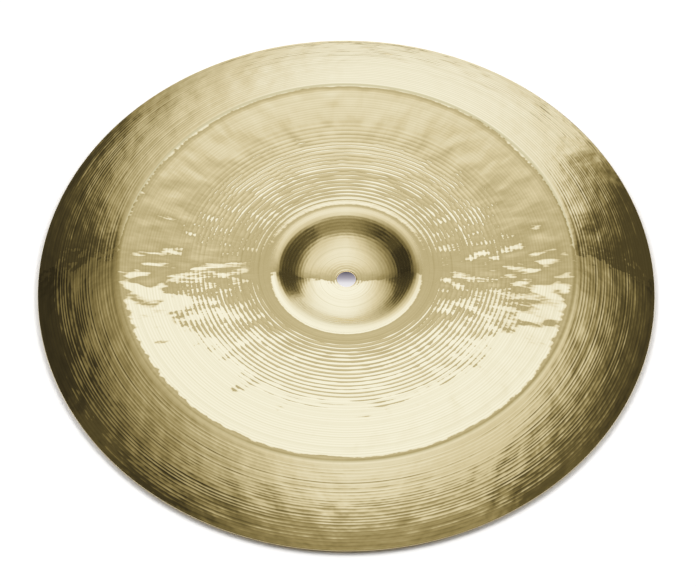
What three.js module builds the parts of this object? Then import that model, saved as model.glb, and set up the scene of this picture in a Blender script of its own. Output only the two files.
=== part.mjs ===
// China cymbal, 16 inch: one bronze blank, cast, hammered and lathed to a thin plate.
// Millimetres, +Z up. The plate lies bell down on its turned-down edge, with the origin
// on the bell's axis at the level that the edge rests on.
import * as THREE from 'three';

// Driving sizes of the plate
const plateDiameter = 406.4;
const ridgeDiameter = 296;
const bellDiameter = 103;
const collarDiameter = 78;
const wallDiameter = 72;
const seatDiameter = 21;
const holeDiameter = 12.7;

// Heights, measured at the middle of the sheet
const bellDepth = 11.75;
const bowRise = 5.55;
const bellClearance = 1.2;

// Sheet thickness: full over the bell, thinned by the lathe towards the edge
const bellThickness = 1.15;
const edgeThickness = 0.8;

// Roundings: the turned ridge between bow and flange, and the broken rims of the hole
const ridgeRound = 5;
const holeBreak = 0.25;

// Lathe grooves across the inner part of the bow: how far each is cut below its crests
const grooveDepth = 0.05;

// Hammer blows: their spacing along a row, the width of a blow and its depth
const hammerSpacing = 40;
const hammerReach = 9;
const hammerDepth = 0.22;

// How fast the bell's floor steepens outward, and how much of its final slope the flange starts with
const floorSteepenShare = 1.8;
const flangeStartShare = 0.6;

// Where the grooved band starts and ends, as shares of the way across the bow
const grooveStartShare = 0.04;
const grooveEndShare = 0.69;
const grooveCount = 20;

// Rows of hammer blows, as shares of the way across the bow and across the flange
const bowRowShares = [0.2, 0.5, 0.8];
const flangeRowShares = [0.42];

// Facets around the axis, and along each zone of the two faces
const segmentsAround = 72;
const upperSteps = { bell: 9, outerBow: 2, ridge: 3, flange: 4 };
const lowerSteps = { bell: 7, outerBow: 1, ridge: 1, flange: 3 };
const integrationSteps = 400;

const plateRadius = plateDiameter / 2;
const ridgeRadius = ridgeDiameter / 2;
const bellRadius = bellDiameter / 2;
const collarRadius = collarDiameter / 2;
const wallRadius = wallDiameter / 2;
const seatRadius = seatDiameter / 2;
const holeRadius = holeDiameter / 2;
const bowWidth = ridgeRadius - bellRadius;
const rimRadius = plateRadius - edgeThickness / 2;
const flangeWidth = rimRadius - ridgeRadius;

const seatHeight = bellClearance + bellThickness / 2;
const bellTop = seatHeight + bellDepth;
const ridgeTop = bellTop + bowRise;
const flangeDrop = ridgeTop - edgeThickness / 2;

// The slope dies away to level at the ridge, over about the ridge's rounding
function ridgeEase(distance) {
  return Math.tanh(distance / ridgeRound);
}

// Steepness of the bell: steeper and steeper from the seat to the wall, even up the wall, then
// eased to level at the collar
function bellSteepness(share) {
  const radius = seatRadius + share * (bellRadius - seatRadius);
  const rise = Math.min(radius / wallRadius, 1) ** floorSteepenShare;
  return rise * (1 - THREE.MathUtils.smoothstep(radius, collarRadius, bellRadius));
}

// Steepness of the bow: level at the collar, rising all the way out, level at the ridge
function bowSteepness(share) {
  return share * ridgeEase((1 - share) * bowWidth);
}

// Steepness of the flange: level at the ridge, soon steep, and steepest at the edge
function flangeSteepness(share) {
  const lean = flangeStartShare + (1 - flangeStartShare) * share;
  return lean * ridgeEase(share * flangeWidth);
}

// Turns a steepness into the share of a zone's height that is reached at each share of its width
function climbOf(steepness) {
  const reached = [0];
  for (let step = 0; step < integrationSteps; step += 1) {
    const middle = (step + 0.5) / integrationSteps;
    reached.push(reached[step] + steepness(middle));
  }
  const whole = reached[integrationSteps];
  return (share) => {
    const place = share * integrationSteps;
    const below = Math.min(Math.floor(place), integrationSteps - 1);
    const blend = place - below;
    return (reached[below] * (1 - blend) + reached[below + 1] * blend) / whole;
  };
}

const bellClimb = climbOf(bellSteepness);
const bowClimb = climbOf(bowSteepness);
const flangeClimb = climbOf(flangeSteepness);

// Height of the middle of the sheet at a radius
function sheetHeight(radius) {
  if (radius <= seatRadius) {
    return seatHeight;
  }
  if (radius <= bellRadius) {
    return seatHeight + bellDepth * bellClimb((radius - seatRadius) / (bellRadius - seatRadius));
  }
  if (radius <= ridgeRadius) {
    return bellTop + bowRise * bowClimb((radius - bellRadius) / bowWidth);
  }
  const share = Math.min((radius - ridgeRadius) / flangeWidth, 1);
  return ridgeTop - flangeDrop * flangeClimb(share);
}

// Thickness of the sheet at a radius
function sheetThickness(radius) {
  const share = THREE.MathUtils.clamp((radius - bellRadius) / (rimRadius - bellRadius), 0, 1);
  return bellThickness + (edgeThickness - bellThickness) * share;
}

// Slope of the sheet as an angle, from its heights one small step to each side
function sheetSlope(radius) {
  const step = bowWidth / integrationSteps;
  const inner = Math.max(radius - step, holeRadius);
  const outer = Math.min(radius + step, rimRadius);
  return Math.atan2(sheetHeight(outer) - sheetHeight(inner), outer - inner);
}

// A point of the upper face (side 1) or the lower face (side -1), square to the sheet, less
// what the lathe has cut away there
function facePoint(radius, side, cut = 0) {
  const slope = radius <= seatRadius ? 0 : sheetSlope(radius);
  const half = side * (sheetThickness(radius) / 2 - cut);
  return new THREE.Vector2(
    radius - half * Math.sin(slope),
    sheetHeight(radius) + half * Math.cos(slope),
  );
}

// Even steps from one radius to another, without the first
function stepsBetween(start, end, count) {
  return Array.from({ length: count }, (_, index) => start + (end - start) * (index + 1) / count);
}

// The radii of a face's points from the end of its inner bow to the rim
function outerRadii(bowRadius, steps) {
  const ridgeInner = ridgeRadius - 2 * ridgeRound;
  const ridgeOuter = ridgeRadius + 2 * ridgeRound;
  return [
    ...stepsBetween(bowRadius, ridgeInner, steps.outerBow),
    ...stepsBetween(ridgeInner, ridgeRadius, steps.ridge),
    ...stepsBetween(ridgeRadius, ridgeOuter, steps.ridge),
    ...stepsBetween(ridgeOuter, rimRadius, steps.flange),
  ];
}

// The lower face, plain, with a ring of points under each row of hammer blows
function lowerFace() {
  const rowRadii = bowRowShares.map((share) => bellRadius + share * bowWidth);
  const radii = [
    seatRadius,
    ...stepsBetween(seatRadius, bellRadius, lowerSteps.bell),
    ...rowRadii,
    ...outerRadii(rowRadii.at(-1), lowerSteps),
  ];
  return radii.map((radius) => facePoint(radius, -1));
}

// The grooved band: a crest, then for each groove its bottom and the next crest
function groovedBand() {
  const start = bellRadius + grooveStartShare * bowWidth;
  const end = bellRadius + grooveEndShare * bowWidth;
  const turns = stepsBetween(start, end, 2 * grooveCount);
  return [
    facePoint(start, 1),
    ...turns.map((radius, index) => facePoint(radius, 1, index % 2 === 0 ? grooveDepth : 0)),
  ];
}

// The upper face, which carries the lathe's grooves
function upperFace() {
  const bell = [seatRadius, ...stepsBetween(seatRadius, bellRadius, upperSteps.bell)];
  const outer = outerRadii(bellRadius + grooveEndShare * bowWidth, upperSteps);
  return [
    ...bell.map((radius) => facePoint(radius, 1)),
    ...groovedBand(),
    ...outer.map((radius) => facePoint(radius, 1)),
  ];
}

// The turned edge: a half round on the end of the sheet, with a corner at its outermost
// point and one at its lowest, so that the plate keeps its diameter and rests level
function edgeArc() {
  const half = edgeThickness / 2;
  const directions = [-Math.PI / 2, -Math.PI / 4, 0, Math.PI / 4];
  return directions.map((direction) => new THREE.Vector2(
    rimRadius + half * Math.cos(direction),
    sheetHeight(rimRadius) + half * Math.sin(direction),
  ));
}

// The whole section as one closed loop: hole, lower face, edge, upper face, hole again
function plateProfile() {
  const seatUpper = seatHeight + bellThickness / 2;
  const seatLower = seatHeight - bellThickness / 2;
  const start = new THREE.Vector2(holeRadius, seatUpper - holeBreak);
  return [
    start,
    new THREE.Vector2(holeRadius, seatLower + holeBreak),
    new THREE.Vector2(holeRadius + holeBreak, seatLower),
    ...lowerFace(),
    ...edgeArc(),
    ...upperFace().reverse(),
    new THREE.Vector2(holeRadius + holeBreak, seatUpper),
    start.clone(),
  ];
}

// One row of hammer blows at a radius, each row turned a little from the one before
function hammerRow(radius, index) {
  return {
    radius,
    count: Math.round(2 * Math.PI * radius / hammerSpacing),
    turn: index * Math.PI * (3 - Math.sqrt(5)),
  };
}

const hammerRows = [
  ...bowRowShares.map((share) => bellRadius + share * bowWidth),
  ...flangeRowShares.map((share) => ridgeRadius + share * flangeWidth),
].map(hammerRow);

// How far the hammer has sunk the sheet at a place, the same through both faces
function hammerSink(radius, angle) {
  return hammerRows.reduce((sum, row) => {
    const across = (radius - row.radius) / hammerReach;
    const around = (1 + Math.cos(row.count * angle + row.turn)) / 2;
    return sum + hammerDepth * around * Math.exp(-across * across);
  }, 0);
}

// Sinks the blows into the lathed plate. The bell and the edge stay true
function hammerPlate(geometry) {
  const position = geometry.attributes.position;
  for (let index = 0; index < position.count; index += 1) {
    const x = position.getX(index);
    const y = position.getY(index);
    const radius = Math.hypot(x, y);
    if (radius > bellRadius && radius < rimRadius - hammerReach) {
      position.setZ(index, position.getZ(index) - hammerSink(radius, Math.atan2(y, x)));
    }
  }
  geometry.computeVertexNormals();
}

function bronze() {
  return new THREE.MeshStandardMaterial({ color: 0xd9c68a, roughness: 0.2, metalness: 1 });
}

function cymbalPlate() {
  const geometry = new THREE.LatheGeometry(plateProfile(), segmentsAround);
  geometry.rotateX(Math.PI / 2);
  hammerPlate(geometry);
  const mesh = new THREE.Mesh(geometry, bronze());
  mesh.name = 'cymbal_plate';
  return mesh;
}

const cymbal = new THREE.Group();
cymbal.add(cymbalPlate());

export default cymbal;
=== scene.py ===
import math

import bpy
import numpy as np
from mathutils import Matrix, Vector


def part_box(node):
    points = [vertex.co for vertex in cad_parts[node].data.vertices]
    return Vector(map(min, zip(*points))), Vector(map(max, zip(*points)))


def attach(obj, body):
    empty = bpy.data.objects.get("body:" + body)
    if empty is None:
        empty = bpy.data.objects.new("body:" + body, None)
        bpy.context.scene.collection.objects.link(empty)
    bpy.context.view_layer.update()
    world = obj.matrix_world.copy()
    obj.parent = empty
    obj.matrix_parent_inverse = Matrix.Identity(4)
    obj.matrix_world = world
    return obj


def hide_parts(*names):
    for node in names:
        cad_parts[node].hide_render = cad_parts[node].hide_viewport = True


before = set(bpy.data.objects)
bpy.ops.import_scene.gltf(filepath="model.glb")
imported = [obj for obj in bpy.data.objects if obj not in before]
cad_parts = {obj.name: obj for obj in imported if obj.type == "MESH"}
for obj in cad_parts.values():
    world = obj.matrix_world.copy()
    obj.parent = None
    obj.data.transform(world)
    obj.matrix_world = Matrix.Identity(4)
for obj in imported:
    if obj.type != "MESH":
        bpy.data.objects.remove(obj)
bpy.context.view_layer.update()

millimetre = 0.001
perMetre = 1000              # millimetres in a metre
perRadian = 180 / math.pi    # degrees in a radian
hair = 1e-6                  # a share of a groove, too small to matter

# Camera: a long lens looking down on the plate, fitted to its edge, bell, ridge and hole

cameraSetup = {
    "distance": 1.85,          # from the aim point, in metres
    "elevation": 55.92,        # degrees above the floor
    "roll": 0.35,              # degrees
    "focalPixels": 2811.3,
    "imageWidth": 698,
    "aim": (0.0018, -0.0098, 0.0),
    "clip": (0.05, 50.0),      # the nearest and the farthest that it sees
}


def makeCamera(setup):
    # The view direction comes from the elevation, and the roll turns about it
    tilt = math.radians(setup["elevation"])
    forward = Vector((0.0, math.cos(tilt), -math.sin(tilt)))
    data = bpy.data.cameras.new("camera")
    data.sensor_fit = "HORIZONTAL"
    data.lens = setup["focalPixels"] * data.sensor_width / setup["imageWidth"]
    data.clip_start, data.clip_end = setup["clip"]
    camera = bpy.data.objects.new("camera", data)
    bpy.context.scene.collection.objects.link(camera)
    roll = Matrix.Rotation(math.radians(setup["roll"]), 3, "Z").to_quaternion()
    camera.rotation_mode = "QUATERNION"
    camera.rotation_quaternion = forward.to_track_quat("-Z", "Y") @ roll
    camera.location = Vector(setup["aim"]) - forward * setup["distance"]
    bpy.context.scene.camera = camera


makeCamera(cameraSetup)
print("camera ready")

# The plate: one sheet of bronze, bell down. Radii and heights are in metres

plateLow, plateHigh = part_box("cymbal_plate")

plate = {
    "radius": (plateHigh[0] - plateLow[0]) / 2,
    "ridgeRadius": 149.6 * millimetre,
    "bellRadius": 52.0 * millimetre,
    "collarRadius": 41.5 * millimetre,
    "wallRadius": 36 * millimetre,
    "holeRadius": 6.35 * millimetre,
    "holeBreak": 0.25 * millimetre,
    "bellDepth": 11.75 * millimetre,
    "bowRise": 5.47 * millimetre,
    "bellClearance": 1.0 * millimetre,
    "bellThickness": 1.15 * millimetre,
    "edgeThickness": 0.8 * millimetre,
    "bellPower": 1.8,                    # how fast the bell's floor steepens outward
    "ridgeRound": 7.7 * millimetre,      # rounding of the ridge on the bow's side
    "ridgeLand": 0.6 * millimetre,       # width of the nearly level strip inside the ridge
    "landLean": 0.14,                    # its slope, as a share of the bow's
    "landFade": 0.4,                     # the share of it in which the sheet turns level
    "crestRound": 0.8 * millimetre,      # rounding of the ridge on the flange's side
    "flangeStart": 0.6,                  # the flange's first slope, as a share of its last
    "bellCalm": 8 * millimetre,          # grooves and blows fade in over this, next to the bell
    "rimCalm": 2.5 * millimetre,         # and out over this, next to the rim
    "rimTurns": (-90, -60, -30, 0, 30, 50),    # corners of the half-round edge, in degrees
    "columns": 352,
    "firstRing": 1.2 * millimetre,       # from the hole to the first ring of each face
    # rings in each zone of the upper face between the grooves, and of the lower face
    "upperRings": {"bell": 27, "collar": 2, "outerBow": 8, "ridge": 9, "crest": 7, "rim": 2},
    "underRings": {"bell": 9, "bow": 8, "flange": 8},
}
plate["rimRadius"] = plate["radius"] - plate["edgeThickness"] / 2
plate["bowWidth"] = plate["ridgeRadius"] - plate["bellRadius"]
plate["flangeWidth"] = plate["rimRadius"] - plate["ridgeRadius"]
plate["seatHeight"] = plate["bellClearance"] + plate["bellThickness"] / 2
plate["bellTop"] = plate["seatHeight"] + plate["bellDepth"]
plate["ridgeTop"] = plate["bellTop"] + plate["bowRise"]

grooves = {
    # the wide grooves that the lathe cut across the bow, shallow next to the bell
    "bow": {
        "start": 53.5 * millimetre, "pitch": 3.1 * millimetre, "count": 22,
        "spread": 0.16, "spreadSeed": 105,
        "depth": 0.065 * millimetre, "uneven": 0.25, "wander": 0.45, "nodes": 47, "seed": 5,
        "strength": [(53, 0.35), (60, 0.5), (84, 1.0), (100, 1.0), (112, 0.6), (122, 0.2)],
    },
    # the closer grooves across the flange
    "flange": {
        "start": 153 * millimetre, "pitch": 1.9 * millimetre, "count": 26,
        "spread": 0.3, "spreadSeed": 107,
        "depth": 0.033 * millimetre, "uneven": 0.45, "wander": 0.5, "nodes": 47, "seed": 7,
        "strength": [(153, 1.2), (172, 1.15), (200, 1.0)],
    },
}
# rings across one groove: its crest, just past it, the bottom, just before the next crest
grooveSteps = np.array([0.0, 0.12, 0.5, 0.88])

hammering = {
    # streaks across the bow, each about as wide as a hammer's edge and longer outward than across
    "bow": {
        "from": 58 * millimetre, "to": 149 * millimetre, "length": 8 * millimetre,
        "width": 4.2 * millimetre, "height": 0.085 * millimetre, "grow": 0.35, "seed": 191,
    },
    "bowWide": {
        "from": 58 * millimetre, "to": 148 * millimetre, "length": 14 * millimetre,
        "width": 10 * millimetre, "height": 0.15 * millimetre, "grow": 0.35, "seed": 246,
    },
    "flange": {
        "from": 150 * millimetre, "to": 203 * millimetre, "length": 6 * millimetre,
        "width": 5.0 * millimetre, "height": 0.12 * millimetre, "grow": 0.6, "seed": 23,
    },
    "flangeWide": {
        "from": 152 * millimetre, "to": 202 * millimetre, "length": 14 * millimetre,
        "width": 9 * millimetre, "height": 0.19 * millimetre, "grow": 0.9, "seed": 29,
    },
    # the slow unevenness of a plate shaped by hand
    "waves": {
        "from": 60 * millimetre, "to": 200 * millimetre, "length": 34 * millimetre,
        "width": 30 * millimetre, "height": 0.14 * millimetre, "grow": 0.5, "seed": 83,
    },
}


def eased(share):
    # Slow at both ends: three times the square less twice the cube
    return share * share * (3 - 2 * share)


def smoothStep(low, high, value):
    # The eased share of the way from low to high
    return eased(np.clip((value - low) / (high - low), 0, 1))


def climb(steepness, count=2000):
    # The share of a zone's height reached at each share of its width: the running sum of its
    # steepness over the whole sum
    share = (np.arange(count) + 0.5) / count
    reached = np.concatenate([[0.0], np.cumsum(steepness(share))])
    places = np.linspace(0.0, 1.0, count + 1)
    return lambda at: np.interp(at, places, reached / reached[-1])


def bellSteepness(share):
    # Steeper and steeper from the hole to the wall, evenly steep up the wall, then level at the
    # collar
    p = plate
    radius = p["holeRadius"] + share * (p["bellRadius"] - p["holeRadius"])
    rise = np.minimum(radius / p["wallRadius"], 1) ** p["bellPower"]
    return rise * (1 - smoothStep(p["collarRadius"], p["bellRadius"], radius))


def bowSteepness(share):
    # Level at the collar, rising all the way out, then rounded over to nearly level along the ridge
    p = plate
    inward = (1 - share) * p["bowWidth"]
    full = smoothStep(p["ridgeLand"], p["ridgeRound"], inward)
    lean = p["landLean"] + (1 - p["landLean"]) * full
    return share * lean * np.tanh(inward / (p["landFade"] * p["ridgeLand"]))


def flangeSteepness(share):
    # Level at the ridge, soon steep, and steepest at the edge
    lean = plate["flangeStart"] + (1 - plate["flangeStart"]) * share
    return lean * np.tanh(share * plate["flangeWidth"] / plate["crestRound"])


bellClimb = climb(bellSteepness)
bowClimb = climb(bowSteepness)
flangeClimb = climb(flangeSteepness)


def sheetHeight(radius):
    # Each zone's height times its climb, added from the hole outward
    p = plate
    bell = np.clip((radius - p["holeRadius"]) / (p["bellRadius"] - p["holeRadius"]), 0, 1)
    bow = np.clip((radius - p["bellRadius"]) / p["bowWidth"], 0, 1)
    flange = np.clip((radius - p["ridgeRadius"]) / p["flangeWidth"], 0, 1)
    drop = p["ridgeTop"] - p["edgeThickness"] / 2
    rise = p["bellDepth"] * bellClimb(bell) + p["bowRise"] * bowClimb(bow)
    return p["seatHeight"] + rise - drop * flangeClimb(flange)


def sheetThickness(radius):
    # Full over the bell, then evenly thinner to the rim
    p = plate
    share = np.clip((radius - p["bellRadius"]) / (p["rimRadius"] - p["bellRadius"]), 0, 1)
    return p["bellThickness"] + (p["edgeThickness"] - p["bellThickness"]) * share


def sheetSlope(radius):
    # The angle whose tangent is the rise over the run, between a small step in and one out
    step = 0.1 * millimetre
    inner = np.maximum(radius - step, plate["holeRadius"])
    outer = np.minimum(radius + step, plate["rimRadius"])
    return np.arctan2(sheetHeight(outer) - sheetHeight(inner), outer - inner)


def grooveEdges(cut):
    # Crest radii: even pitches, each a little wider or narrower by a seeded share
    chance = np.random.default_rng(cut["spreadSeed"])
    pitches = 1 + cut["spread"] * chance.uniform(-1, 1, cut["count"])
    width = cut["pitch"] * cut["count"]
    return cut["start"] + width * np.concatenate([[0], np.cumsum(pitches)]) / pitches.sum()


def aroundRing(values, angle):
    # Seeded values evenly spaced round a ring, blended smoothly between neighbours
    turn = np.mod(angle, 2 * math.pi) / (2 * math.pi) * values.shape[-1]
    node = np.floor(turn).astype(int) % values.shape[-1]
    share = eased(turn - np.floor(turn))
    return values[..., node] * (1 - share) + values[..., (node + 1) % values.shape[-1]] * share


def scallops(radius, angle, cut):
    # Each groove is a parabola between two crests. Its depth differs from groove to groove and
    # round the axis
    chance = np.random.default_rng(cut["seed"])
    uneven = 1 + cut["uneven"] * chance.uniform(-1, 1, (cut["count"], 1))
    nodes = chance.uniform(-1, 1, (cut["count"], cut["nodes"]))
    wander = 1 + cut["wander"] * aroundRing(nodes, angle[0])
    edges = grooveEdges(cut)
    along = np.interp(radius, edges, np.arange(len(edges)))
    # the hair keeps a ring that lies on a crest in the groove that starts there
    which = np.clip(np.floor(along + hair), 0, cut["count"] - 1).astype(int)[:, 0]
    place = np.clip(along - which[:, None], 0, 1)
    inside = (radius > edges[0]) & (radius < edges[-1])
    stops = np.array(cut["strength"])
    strength = np.interp(radius, stops[:, 0] * millimetre, stops[:, 1])
    depth = cut["depth"] * inside * strength * (uneven * wander)[which]
    return -depth * (1 - 4 * (place - 0.5) ** 2)


def hammered(radius, angle, blows):
    # Seeded heights at the nodes of a polar lattice, blended smoothly between them and faded at
    # both ends. Each row has as many nodes as fit its ring, so a blow keeps its width from the
    # bell to the edge
    reach = blows["to"] - blows["from"]
    rows = int(math.ceil(reach / blows["length"])) + 2
    lastPlace = rows - 1.001    # just short of the last row
    outward = np.clip((radius - blows["from"]) / blows["length"], 0, lastPlace)
    rowBelow = np.floor(outward).astype(int)
    mix = eased(outward - rowBelow)
    chance = np.random.default_rng(blows["seed"])
    rings = []
    for row in range(rows):
        ringLength = 2 * math.pi * (blows["from"] + row * blows["length"])
        heights = chance.uniform(-1, 1, int(round(ringLength / blows["width"])))
        rings.append(aroundRing(heights, angle[0] + chance.uniform(0, 2 * math.pi)))
    rings = np.array(rings)
    grown = blows["grow"] + (1 - blows["grow"]) * (radius - blows["from"]) / reach
    fade = smoothStep(blows["from"], blows["from"] + blows["length"], radius)
    fade = fade * (1 - smoothStep(blows["to"] - blows["length"], blows["to"], radius))
    below = rowBelow[:, 0]
    above = np.minimum(below + 1, rows - 1)
    blended = rings[below] * (1 - mix) + rings[above] * mix
    return blows["height"] * fade * grown * blended


def plateRadii():
    # Ring radii of the upper face, four to each groove and evenly spaced between the grooves
    p = plate
    count = p["upperRings"]
    ridgeInner = p["ridgeRadius"] - p["ridgeRound"]

    def grooved(cut):
        edges = grooveEdges(cut)
        return (edges[:-1, None] + np.diff(edges)[:, None] * grooveSteps[None, :]).reshape(-1)

    def even(start, end, zone):
        return np.linspace(start, end, count[zone], endpoint=zone == "rim")

    bow, flange = grooves["bow"], grooves["flange"]
    return np.concatenate([
        even(p["holeRadius"] + p["firstRing"], p["bellRadius"], "bell"),
        even(p["bellRadius"], bow["start"], "collar"),
        grooved(bow),
        even(grooveEdges(bow)[-1], ridgeInner, "outerBow"),
        even(ridgeInner, p["ridgeRadius"], "ridge"),
        even(p["ridgeRadius"], flange["start"], "crest"),
        grooved(flange),
        even(grooveEdges(flange)[-1], p["rimRadius"], "rim"),
    ])


def underRadii():
    # Ring radii of the lower face, evenly spaced in each zone
    p = plate
    count = p["underRings"]
    start = p["holeRadius"] + p["firstRing"]
    return np.concatenate([
        np.linspace(start, p["bellRadius"], count["bell"], endpoint=False),
        np.linspace(p["bellRadius"], p["ridgeRadius"], count["bow"], endpoint=False),
        np.linspace(p["ridgeRadius"], p["rimRadius"], count["flange"]),
    ])


def plateGrid():
    # The closed section is swept round the axis: row = point of the section, column = angle
    p = plate
    angle = np.arange(p["columns"]) * 2 * math.pi / p["columns"]

    def face(radii, side, detail):
        # Half the thickness to one side of the sheet, square to it, and the dents added upward
        slope = sheetSlope(radii)
        half = side * sheetThickness(radii) / 2
        ring = radii - half * np.sin(slope)
        height = sheetHeight(radii) + half * np.cos(slope)
        radii, ring, height = radii[:, None], ring[:, None], height[:, None]
        dents = sum(hammered(radii, angle[None, :], blows) for blows in hammering.values())
        if detail:
            dents = dents + sum(scallops(radii, angle[None, :], cut) for cut in grooves.values())
        calm = smoothStep(p["bellRadius"], p["bellRadius"] + p["bellCalm"], radii)
        calm = calm * (1 - smoothStep(p["rimRadius"] - p["rimCalm"], p["rimRadius"], radii))
        return np.broadcast_to(ring, dents.shape), height + dents * calm

    def plain(points):
        # Rings with no dents, from pairs of radius and height
        ring = np.array([point[0] for point in points])[:, None]
        height = np.array([point[1] for point in points])[:, None]
        shape = (len(points), len(angle))
        return np.broadcast_to(ring, shape), np.broadcast_to(height, shape)

    seatUpper = p["seatHeight"] + p["bellThickness"] / 2
    seatLower = p["seatHeight"] - p["bellThickness"] / 2
    hole = plain([
        (p["holeRadius"] + p["holeBreak"], seatUpper),
        (p["holeRadius"], seatUpper - p["holeBreak"]),
        (p["holeRadius"], seatLower + p["holeBreak"]),
        (p["holeRadius"] + p["holeBreak"], seatLower),
    ])
    half = p["edgeThickness"] / 2
    rimHeight = float(sheetHeight(np.array([p["rimRadius"]]))[0])
    edge = plain([
        (p["rimRadius"] + half * math.cos(turn), rimHeight + half * math.sin(turn))
        for turn in np.radians(p["rimTurns"])
    ])
    under = face(underRadii(), -1, False)
    upper = face(plateRadii()[::-1], 1, True)
    ring = np.concatenate([hole[0], under[0], edge[0], upper[0]])
    height = np.concatenate([hole[1], under[1], edge[1], upper[1]])
    return np.stack([ring * np.cos(angle), ring * np.sin(angle), height], axis=-1)


def meshFromGrid(name, grid):
    # Joins the grid into quads, closed both round the section and round the axis
    rows, columns = grid.shape[:2]
    index = np.arange(rows * columns).reshape(rows, columns)
    right = np.roll(index, -1, axis=1)
    below, belowRight = np.roll(index, -1, axis=0), np.roll(right, -1, axis=0)
    quads = np.stack([index, right, belowRight, below], axis=-1).reshape(-1, 4)
    mesh = bpy.data.meshes.new(name)
    mesh.vertices.add(rows * columns)
    mesh.vertices.foreach_set("co", grid.reshape(-1).astype(np.float32))
    mesh.loops.add(quads.size)
    mesh.loops.foreach_set("vertex_index", quads.reshape(-1).astype(np.int32))
    mesh.polygons.add(len(quads))
    mesh.polygons.foreach_set("loop_start", (np.arange(len(quads)) * 4).astype(np.int32))
    mesh.update(calc_edges=True)
    mesh.polygons.foreach_set("use_smooth", np.ones(len(quads), dtype=bool))
    mesh.validate()
    piece = bpy.data.objects.new(name, mesh)
    bpy.context.scene.collection.objects.link(piece)
    return piece


cymbal = meshFromGrid("lathed_plate", plateGrid())
print("plate", len(cymbal.data.polygons) * 2, "triangles")

# Bronze. Places in the lists are millimetres from the axis

bronze = {
    "colour": (0.90, 0.765, 0.45, 1.0),
    # smooth, but for the bell's wall, which the polishing wheel reaches less well
    "roughness": [
        (0, 0.022), (24, 0.022), (31, 0.06), (36, 0.11), (42, 0.10), (46, 0.05), (49, 0.022),
        (210, 0.022),
    ],
    # painted shade: the wall of the bell and the crest of the ridge are painted a little darker,
    # for the shade in the bell and to dim the ridge's bright reflected line
    "paintedShade": [
        (0, 1.0), (24, 1.0), (32, 0.95), (37, 0.90), (41, 0.88), (44, 0.92), (47, 1.0),
        (147.8, 1.0), (149.1, 0.70), (149.9, 0.70), (150.9, 1.0), (210, 1.0),
    ],
    # stained rings that wander by the drift. The tint is listed by the noise's own value
    "stainTint": [(0.30, 0.80), (0.48, 1.0), (0.62, 1.0), (0.75, 1.04)],
    "stainApart": 3.0,                   # keeps the stains off the fine lines' noise
    "drift": 0.6 * millimetre,
    # painted shade: even rings on the flange and the outer bow, painted as faint darker lines for
    # the shade in the lathe grooves
    "ringPitch": 1.9 * millimetre,
    "ringDrift": 0.5,                    # the share of the drift that moves them
    "ringPaintedShade": [
        (0, 0.0), (94, 0.0), (110, 0.07), (146, 0.08), (149.5, 0.0), (152, 0.09), (203, 0.09),
    ],
    "warmth": (1.12, 1.7),               # the darker a line, the warmer: powers of green and blue
    # relief of the fine lines left by the lathe
    "lineHeight": 0.0024 * millimetre,
    "lineGrowth": [(48, 0.6), (60, 1.0), (146, 1.0), (152, 2.6), (203, 2.6)],
    # of the small hammer streaks, which are shorter on the flange
    "streakHeight": 0.020 * millimetre,
    "streakLength": 9 * millimetre,
    "flangeLength": 4 * millimetre,
    "streakGrowth": [
        (50, 0.0), (70, 0.35), (95, 0.9), (110, 1.0), (146, 1.0), (156, 1.8), (176, 2.4),
        (203, 2.4),
    ],
    # of the bell's rings
    "bellPitch": 1.9 * millimetre,
    "bellRingHeight": 0.0055 * millimetre,
    "bellEnd": 50 * millimetre,
    # and of the bell's slight waviness
    "bellWave": 0.024 * millimetre,
    "bellWaveFade": [(0, 0.6), (24, 0.7), (31, 1.0), (40, 1.0), (50, 0.3), (60, 0.0), (210, 0.0)],
    # noises: scale (how many to a metre, or to a radian for the streaks), detail and roughness
    "lineNoise": (625.0, 3.0, 0.6),
    "stainNoise": (525.0, 4.0, 0.75),
    "driftNoise": (22.0, 1.0, 0.5),
    "streakNoise": (33.0, 1.0, 0.4),
    "waveNoise": (1 / (3.5 * millimetre), 1.0, 0.5),
}

# what each kind of ramp spans: millimetres, noise values, degrees and levels of light
spans = {
    "radius": (0, 210),
    "stain": (0.2, 0.8),
    "floor": (0, 220),
    "hole": (-8, 8),
    "arc": (0, 180),
    "side": (-60, 60),
    "farSide": (0, 90),
    "tone": (0, 1.1),
}


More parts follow.
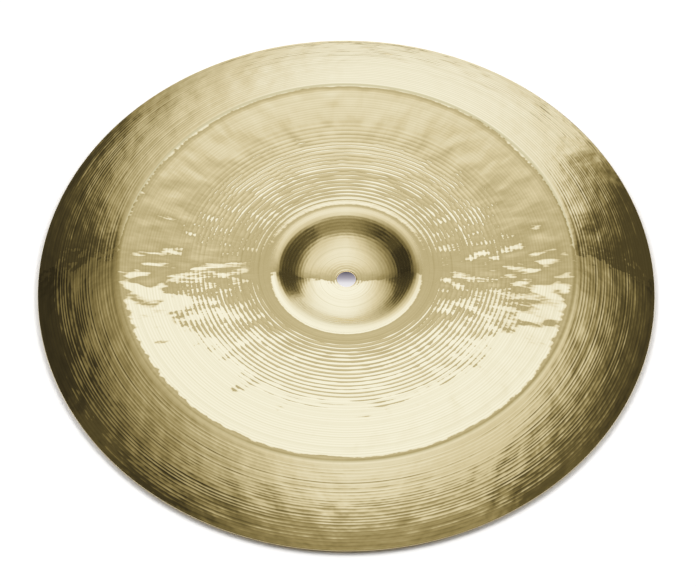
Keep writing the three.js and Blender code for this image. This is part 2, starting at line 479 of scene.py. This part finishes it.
class NodeMaker:
    # Short calls that add and join shader nodes in one tree
    def __init__(self, tree):
        self.nodes, self.links = tree.nodes, tree.links

    def fill(self, socket, value):
        if isinstance(value, bpy.types.NodeSocket):
            self.links.new(value, socket)
        else:
            socket.default_value = value

    def math(self, operation, *values):
        node = self.nodes.new("ShaderNodeMath")
        node.operation = operation
        for socket, value in zip(node.inputs, values):
            self.fill(socket, value)
        return node.outputs[0]

    def mix(self, kind, factor, first, second, blend="MIX"):
        # Numbers (FLOAT) or colours (RGBA), blended by the factor
        node = self.nodes.new("ShaderNodeMix")
        node.data_type = kind
        node.blend_type = blend
        for name, value in (("Factor", factor), ("A", first), ("B", second)):
            self.fill(node.inputs[name], value)
        return node.outputs["Result"]

    def mixShaders(self, factor, first, second):
        node = self.nodes.new("ShaderNodeMixShader")
        for socket, value in zip(node.inputs, (factor, first, second)):
            self.links.new(value, socket)
        return node.outputs[0]

    def ramp(self, factor, stops, kind):
        # A colour ramp whose stops are given in the factor's own units
        low, high = spans[kind]
        node = self.nodes.new("ShaderNodeValToRGB")
        elements = node.color_ramp.elements
        while len(elements) < len(stops):
            elements.new(1.0)
        for element, (place, value) in zip(elements, stops):
            element.position = (place - low) / (high - low)
            level = value if isinstance(value, tuple) else (value, value, value)
            element.color = (*level, 1.0)
        scaled = self.math("DIVIDE", self.math("SUBTRACT", factor, low), high - low)
        self.links.new(scaled, node.inputs["Fac"])
        return node.outputs["Color"]

    def noise(self, vector, scale, detail, roughness):
        node = self.nodes.new("ShaderNodeTexNoise")
        self.links.new(vector, node.inputs["Vector"])
        node.inputs["Scale"].default_value = scale
        node.inputs["Detail"].default_value = detail
        node.inputs["Roughness"].default_value = roughness
        return node.outputs["Fac"]

    def vector(self, x, y, z):
        node = self.nodes.new("ShaderNodeCombineXYZ")
        for socket, value in zip(node.inputs, (x, y, z)):
            self.fill(socket, value)
        return node.outputs[0]

    def place(self, kind):
        # A place or direction, whole and as its x, y and z
        whole = self.nodes.new("ShaderNodeTexCoord").outputs[kind]
        split = self.nodes.new("ShaderNodeSeparateXYZ")
        self.links.new(whole, split.inputs[0])
        return whole, split.outputs["X"], split.outputs["Y"], split.outputs["Z"]

    def fromAxis(self, x, y):
        # The distance from the axis: the root of the sum of both squares
        squares = self.math("ADD", self.math("MULTIPLY", x, x), self.math("MULTIPLY", y, y))
        return self.math("SQRT", squares)


def makeBronze(look):
    # Bare bronze: lines and rings follow the distance from the axis, and hammer streaks point
    # outward
    material = bpy.data.materials.new("lathedBronze")
    material.use_nodes = True
    make = NodeMaker(material.node_tree)
    shader = make.nodes["Principled BSDF"]
    shader.inputs["Metallic"].default_value = 1.0
    place, x, y, _ = make.place("Object")
    radius = make.fromAxis(x, y)
    millimetres = make.math("MULTIPLY", radius, perMetre)

    def byRadius(name):
        return make.ramp(millimetres, look[name], "radius")

    # colour: the bronze times its stains and its painted shade, in the lathe rings and on the
    # bell's wall and the ridge's crest
    drift = make.math("MULTIPLY", make.noise(place, *look["driftNoise"]), look["drift"])
    stain = make.vector(0.0, look["stainApart"], make.math("ADD", radius, drift))
    stain = make.noise(stain, *look["stainNoise"])
    tint = make.ramp(stain, look["stainTint"], "stain")
    # painted shade in the lathe rings: a wave across the radius darkens the colour
    turns = make.math("MULTIPLY_ADD", drift, look["ringDrift"], radius)
    turns = make.math("MULTIPLY", turns, 2 * math.pi / look["ringPitch"])
    wave = make.math("MULTIPLY_ADD", make.math("SINE", turns), 0.5, 0.5)
    rings = make.math("MULTIPLY", wave, byRadius("ringPaintedShade"))
    # painted shade: the bell's wall, the ridge's crest and the lathe rings are darkened in the
    # colour
    paintedShadeShare = make.math("MULTIPLY", byRadius("paintedShade"), make.math("SUBTRACT", 1.0, rings))
    share = make.math("MULTIPLY", tint, paintedShadeShare)
    warm = make.vector(share, *(make.math("POWER", share, power) for power in look["warmth"]))
    colour = make.mix("RGBA", 1.0, look["colour"], warm, "MULTIPLY")
    make.links.new(colour, shader.inputs["Base Color"])

    # relief: each part's height is added to the ones before
    lines = make.noise(make.vector(0.0, 0.0, radius), *look["lineNoise"])
    lines = make.math("MULTIPLY", lines, byRadius("lineGrowth"))
    height = make.math("MULTIPLY", lines, 2 * look["lineHeight"])
    around = look["streakNoise"][0]
    onFlange = make.math("SUBTRACT", radius, plate["ridgeRadius"])
    onFlange = make.math("MAXIMUM", onFlange, 0.0)
    shorter = (1 / look["flangeLength"] - 1 / look["streakLength"]) / around
    outward = make.math("DIVIDE", radius, look["streakLength"] * around)
    outward = make.math("MULTIPLY_ADD", onFlange, shorter, outward)
    across = make.math("DIVIDE", x, radius)
    along = make.math("DIVIDE", y, radius)
    streaks = make.noise(make.vector(across, along, outward), *look["streakNoise"])
    grown = make.math("MULTIPLY", byRadius("streakGrowth"), 2 * look["streakHeight"])
    height = make.math("MULTIPLY_ADD", streaks, grown, height)
    ring = make.math("SINE", make.math("MULTIPLY", radius, 2 * math.pi / look["bellPitch"]))
    ring = make.math("MULTIPLY", ring, make.math("LESS_THAN", radius, look["bellEnd"]))
    height = make.math("MULTIPLY_ADD", ring, look["bellRingHeight"], height)
    waves = make.noise(place, *look["waveNoise"])
    waves = make.math("MULTIPLY", waves, byRadius("bellWaveFade"))
    height = make.math("MULTIPLY_ADD", waves, 2 * look["bellWave"], height)
    bump = make.nodes.new("ShaderNodeBump")
    bump.inputs["Strength"].default_value = 1.0
    bump.inputs["Distance"].default_value = 1.0
    make.links.new(height, bump.inputs["Height"])
    make.links.new(bump.outputs[0], shader.inputs["Normal"])
    make.links.new(byRadius("roughness"), shader.inputs["Roughness"])
    return material


cymbal.data.materials.append(makeBronze(bronze))
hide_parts("cymbal_plate")
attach(cymbal, "root")
print("bronze ready")

# Studio: a pale floor, lamps for it, and a sky that stands for a bright panel and a dimmer room

studio = {
    "floorDrop": 1.2 * millimetre,
    "floorSize": 12.0,
    "floorColour": (0.92, 0.91, 0.90, 1.0),
    "floorGlow": 0.02,
    # painted light and shadow seen through the hole: how far from the axis the painted light
    # reaches, and its colour from the front of the hole, painted lit, to its back, painted in
    # shadow, both in millimetres
    "holePaintedLightReach": [(14, 1.0), (18, 0.0)],
    "holePaintedLightAndShadow": [
        (-8, (0.94, 0.93, 0.94)), (-1, (0.80, 0.78, 0.80)), (3, (0.40, 0.37, 0.42)),
        (8, (0.10, 0.09, 0.12)),
    ],
    # painted reflection: a glow that only mirrored rays see, for the underside to show, dimmer
    # toward the rim as painted shade, by the millimetres from the axis
    "underPaintedReflection": [
        (0, 0.62), (50, 0.55), (120, 0.42), (150, 0.30), (190, 0.12), (204, 0.05), (220, 0.05),
    ],
    "skyOnFloor": 0.05,    # the metal mirrors the whole sky, the floor gets this share of it
    # level along the arc from the far horizon (0) over the zenith (90) to behind the camera (180)
    "arc": [
        (0.0, 0.80), (1.2, 0.80), (1.8, 0.40), (2.6, 0.40), (3.2, 0.86), (8.0, 0.96),
        (16.0, 1.01), (30.0, 1.02), (44.0, 1.02), (49.0, 1.06), (54.1, 1.06), (54.35, 0.54),
        (56.0, 0.60), (58.0, 0.68), (60.0, 0.78), (62.0, 0.86), (67.0, 0.94), (76.0, 0.95),
        (85.0, 0.92), (95.0, 0.90), (99.0, 0.79), (100.5, 0.65), (102.0, 0.53), (104.0, 0.46),
        (106.5, 0.41), (108.5, 0.36), (110.0, 0.33), (112.0, 0.27), (122.0, 0.14),
        (128.0, 0.14), (145.0, 0.72), (180.0, 0.80),
    ],
    # share of that level by the degrees left (negative) or right of the middle, for the panel
    "panelSide": [
        (-60.0, 0.03), (-47.0, 0.035), (-42.0, 0.045), (-39.0, 0.055), (-36.0, 0.07),
        (-34.0, 0.09), (-32.0, 0.14), (-30.0, 0.27), (-28.0, 0.41), (-24.0, 0.57),
        (-20.0, 0.70), (-16.0, 0.79), (-12.0, 0.87), (-6.0, 0.96), (0.0, 1.0), (8.0, 1.0),
        (16.0, 0.97), (20.0, 0.92), (24.0, 0.87), (26.0, 0.74), (28.0, 0.51), (30.0, 0.32),
        (32.0, 0.19), (34.0, 0.11), (36.0, 0.08), (41.0, 0.08), (47.0, 0.06), (60.0, 0.05),
    ],
    # and for the room above it
    "roomSide": [
        (-60.0, 0.04), (-47.0, 0.04), (-41.0, 0.055), (-38.6, 0.065), (-37.2, 0.20),
        (-35.0, 0.26), (-32.0, 0.31), (-28.0, 0.45), (-24.0, 0.54), (-20.0, 0.64),
        (-16.0, 0.74), (-12.0, 0.84), (-6.0, 0.94), (0.0, 1.0), (8.0, 0.98), (12.0, 0.95),
        (16.0, 0.91), (20.0, 0.88), (24.0, 0.86), (28.0, 0.80), (32.0, 0.54), (36.0, 0.28),
        (38.0, 0.18), (41.0, 0.11), (47.0, 0.06), (60.0, 0.05),
    ],
    # how much narrower each half of the panel and the room is at each place on the arc
    "panelLeft": [
        (0.0, 1.45), (9.0, 1.4), (15.0, 1.27), (21.0, 1.13), (27.0, 1.03), (33.0, 1.0),
        (40.0, 1.0), (46.0, 1.08), (54.3, 1.3), (180.0, 1.3),
    ],
    "panelRight": [
        (0.0, 1.4), (9.0, 1.32), (12.0, 1.10), (17.0, 0.96), (23.0, 1.05), (27.0, 1.03),
        (33.0, 1.0), (40.0, 1.0), (46.0, 1.08), (54.3, 1.3), (180.0, 1.3),
    ],
    "roomLeft": [
        (0.0, 1.0), (78.0, 1.0), (82.0, 1.07), (90.0, 1.12), (94.0, 1.2), (98.0, 1.35),
        (102.0, 1.4), (180.0, 1.4),
    ],
    "roomRight": [
        (0.0, 1.0), (72.0, 1.0), (80.0, 1.02), (86.0, 1.1), (90.0, 1.16), (94.0, 1.22),
        (98.0, 1.3), (104.0, 1.15), (180.0, 1.1),
    ],
    # the least share that the room keeps out to each side, at each place on the arc
    "tailLeft": [
        (0.0, 0.0), (68.0, 0.0), (76.0, 0.08), (84.0, 0.115), (96.0, 0.13), (104.0, 0.15),
        (112.0, 0.2), (128.0, 0.2), (145.0, 0.8), (180.0, 0.8),
    ],
    "tailRight": [
        (0.0, 0.0), (76.0, 0.0), (84.0, 0.12), (92.0, 0.23), (100.0, 0.28), (112.0, 0.35),
        (128.0, 0.35), (145.0, 0.8), (180.0, 0.8),
    ],
    # the least share of panel and room straight to the left and right
    "farSides": [(0.0, 0.0), (62.0, 0.0), (74.0, 0.6), (90.0, 0.7)],
    "panelEdge": (54.1, 54.35),    # where on the arc the panel ends and the room starts
    "panelBend": 0.008,            # how far that edge drops to the sides, per square degree
    # colour of the light at each level: warm where it is dim, cooler where it is bright
    "tone": [
        (0.0, (0.0, 0.0, 0.0)), (0.044, (0.044, 0.040, 0.029)), (0.11, (0.11, 0.098, 0.057)),
        (0.22, (0.22, 0.197, 0.115)), (0.38, (0.38, 0.35, 0.236)), (0.56, (0.56, 0.547, 0.47)),
        (0.78, (0.78, 0.79, 0.81)), (0.89, (0.89, 0.94, 1.09)), (1.04, (1.04, 1.165, 1.56)),
    ],
    "cameraWhite": (1.0, 1.0, 1.0, 1.0),
    # lamps: degrees to the right of straight behind the plate, and strength
    "lamps": {
        "backLamp": (0.0, 1.4),
        "leftBackLamp": (-40.0, 1.7),
        "rightBackLamp": (40.0, 1.7),
        "leftLamp": (-76.0, 1.15),
        "rightLamp": (76.0, 1.15),
    },
    "lampElevation": 30.0,
    "lampSpread": 26.0,
}


def makeFloor(setup):
    # A square just under the plate. It glows by the distance from the axis, as painted light seen
    # through the hole and a painted reflection for the underside, and from below it can be seen
    # through
    half, z = setup["floorSize"] / 2, -setup["floorDrop"]
    corners = [(-half, -half, z), (half, -half, z), (half, half, z), (-half, half, z)]
    mesh = bpy.data.meshes.new("floor")
    mesh.from_pydata(corners, [], [(0, 1, 2, 3)])
    floor = bpy.data.objects.new("floor", mesh)
    bpy.context.scene.collection.objects.link(floor)
    material = bpy.data.materials.new("paleFloor")
    material.use_nodes = True
    make = NodeMaker(material.node_tree)
    make.nodes.clear()
    output = make.nodes.new("ShaderNodeOutputMaterial")
    path = make.nodes.new("ShaderNodeLightPath").outputs
    _, x, y, _ = make.place("Object")
    radius = make.math("MULTIPLY", make.fromAxis(x, y), perMetre)

    diffuse = make.nodes.new("ShaderNodeBsdfDiffuse")
    diffuse.inputs["Color"].default_value = setup["floorColour"]
    # painted reflection: under the plate the floor glows for mirrored rays only, dimmer toward the
    # rim
    mirrored = make.math("MAXIMUM", path["Is Glossy Ray"], path["Is Transmission Ray"])
    underPaintedReflection = make.ramp(radius, setup["underPaintedReflection"], "floor")
    underPaintedReflection = make.math("MULTIPLY", underPaintedReflection, mirrored)
    frontGlow = make.math("MULTIPLY", path["Is Camera Ray"], setup["floorGlow"])
    glow = make.nodes.new("ShaderNodeEmission")
    make.links.new(make.math("MAXIMUM", underPaintedReflection, frontGlow), glow.inputs["Strength"])
    lit = make.nodes.new("ShaderNodeAddShader")
    make.links.new(diffuse.outputs[0], lit.inputs[0])
    make.links.new(glow.outputs[0], lit.inputs[1])

    # painted light and shadow: through the hole, where the lamps don't reach, the camera sees a
    # painted glow that fades backwards into painted shadow
    hole = make.nodes.new("ShaderNodeEmission")
    holePaintedLightAndShadow = make.ramp(make.math("MULTIPLY", y, perMetre), setup["holePaintedLightAndShadow"], "hole")
    make.links.new(holePaintedLightAndShadow, hole.inputs["Color"])
    inPaintedHoleLight = make.ramp(radius, setup["holePaintedLightReach"], "floor")
    inPaintedHoleLight = make.math("MULTIPLY", inPaintedHoleLight, path["Is Camera Ray"])
    above = make.mixShaders(inPaintedHoleLight, lit.outputs[0], hole.outputs[0])
    backfacing = make.nodes.new("ShaderNodeNewGeometry").outputs["Backfacing"]
    clear = make.nodes.new("ShaderNodeBsdfTransparent").outputs[0]
    make.links.new(make.mixShaders(backfacing, above, clear), output.inputs["Surface"])
    mesh.materials.append(material)


def makeSky(setup):
    # Level = the arc's level times the side's share, both read from the ray's direction, then toned
    world = bpy.data.worlds.new("studioSky")
    bpy.context.scene.world = world
    world.use_nodes = True
    make = NodeMaker(world.node_tree)
    make.nodes.clear()
    output = make.nodes.new("ShaderNodeOutputWorld")
    background = make.nodes.new("ShaderNodeBackground")
    make.links.new(background.outputs[0], output.inputs["Surface"])
    _, x, y, z = make.place("Generated")
    lift = make.math("MAXIMUM", z, 0.0)
    arc = make.math("MULTIPLY", make.math("ARCTAN2", lift, y), perRadian)
    side = make.math("MULTIPLY", make.math("ARCSINE", x), perRadian)

    def byArc(name, place=arc):
        return make.ramp(place, setup[name], "arc")

    # the panel below its bent upper edge, and the room above it
    low, high = setup["panelEdge"]
    bent = make.math("MULTIPLY", side, side)
    bent = make.math("MULTIPLY_ADD", bent, setup["panelBend"], arc)
    above = make.ramp(bent, [(low, 0.0), (high, 1.0)], "arc")
    panelLevel = byArc("arc", make.math("MINIMUM", arc, low))
    roomLevel = byArc("arc", make.math("MAXIMUM", bent, high))
    arcLevel = make.mix("FLOAT", above, panelLevel, roomLevel)

    # the share that each has to the left and right
    onLeft = make.math("MINIMUM", side, 0.0)
    onRight = make.math("MAXIMUM", side, 0.0)
    panel = make.math("MULTIPLY", onLeft, byArc("panelLeft"))
    panel = make.math("MULTIPLY_ADD", onRight, byArc("panelRight"), panel)
    panelShare = make.ramp(panel, setup["panelSide"], "side")
    room = make.math("MULTIPLY", onLeft, byArc("roomLeft"))
    room = make.math("ADD", room, make.math("MULTIPLY", onRight, byArc("roomRight")))
    roomShare = make.ramp(room, setup["roomSide"], "side")
    rightHalf = make.math("GREATER_THAN", side, 0.0)
    leftHalf = make.math("SUBTRACT", 1.0, rightHalf)
    tail = make.math("MULTIPLY", byArc("tailLeft"), leftHalf)
    tail = make.math("MULTIPLY_ADD", byArc("tailRight"), rightHalf, tail)
    share = make.mix("FLOAT", above, panelShare, make.math("MAXIMUM", roomShare, tail))
    farSides = make.ramp(make.math("ABSOLUTE", side), setup["farSides"], "farSide")
    level = make.math("MULTIPLY", arcLevel, make.math("MAXIMUM", share, farSides))

    # the camera sees plain white, and the metal mirrors the toned sky
    path = make.nodes.new("ShaderNodeLightPath").outputs
    toned = make.ramp(level, setup["tone"], "tone")
    shown = make.mix("RGBA", path["Is Camera Ray"], toned, setup["cameraWhite"])
    make.links.new(shown, background.inputs["Color"])
    mirrored = make.math("MAXIMUM", path["Is Glossy Ray"], path["Is Transmission Ray"])
    seen = make.math("MAXIMUM", path["Is Camera Ray"], mirrored)
    strength = make.math("MULTIPLY_ADD", seen, 1 - setup["skyOnFloor"], setup["skyOnFloor"])
    make.links.new(strength, background.inputs["Strength"])


def makeLamps(setup):
    # Low lamps for the floor and the plate's shadow on it. The metal mirrors the sky and not these
    rise = math.radians(setup["lampElevation"])
    for name, (azimuth, strength) in setup["lamps"].items():
        data = bpy.data.lights.new(name, "SUN")
        data.energy = strength
        data.angle = math.radians(setup["lampSpread"])
        lamp = bpy.data.objects.new(name, data)
        bpy.context.scene.collection.objects.link(lamp)
        turn = math.radians(azimuth)
        flat = math.cos(rise)
        towards = Vector((math.sin(turn) * flat, math.cos(turn) * flat, math.sin(rise)))
        lamp.rotation_euler = towards.to_track_quat("Z", "Y").to_euler()
        lamp.visible_glossy = False


makeFloor(studio)
makeSky(studio)
makeLamps(studio)
bpy.context.scene.view_settings.view_transform = "Standard"
print("studio ready")
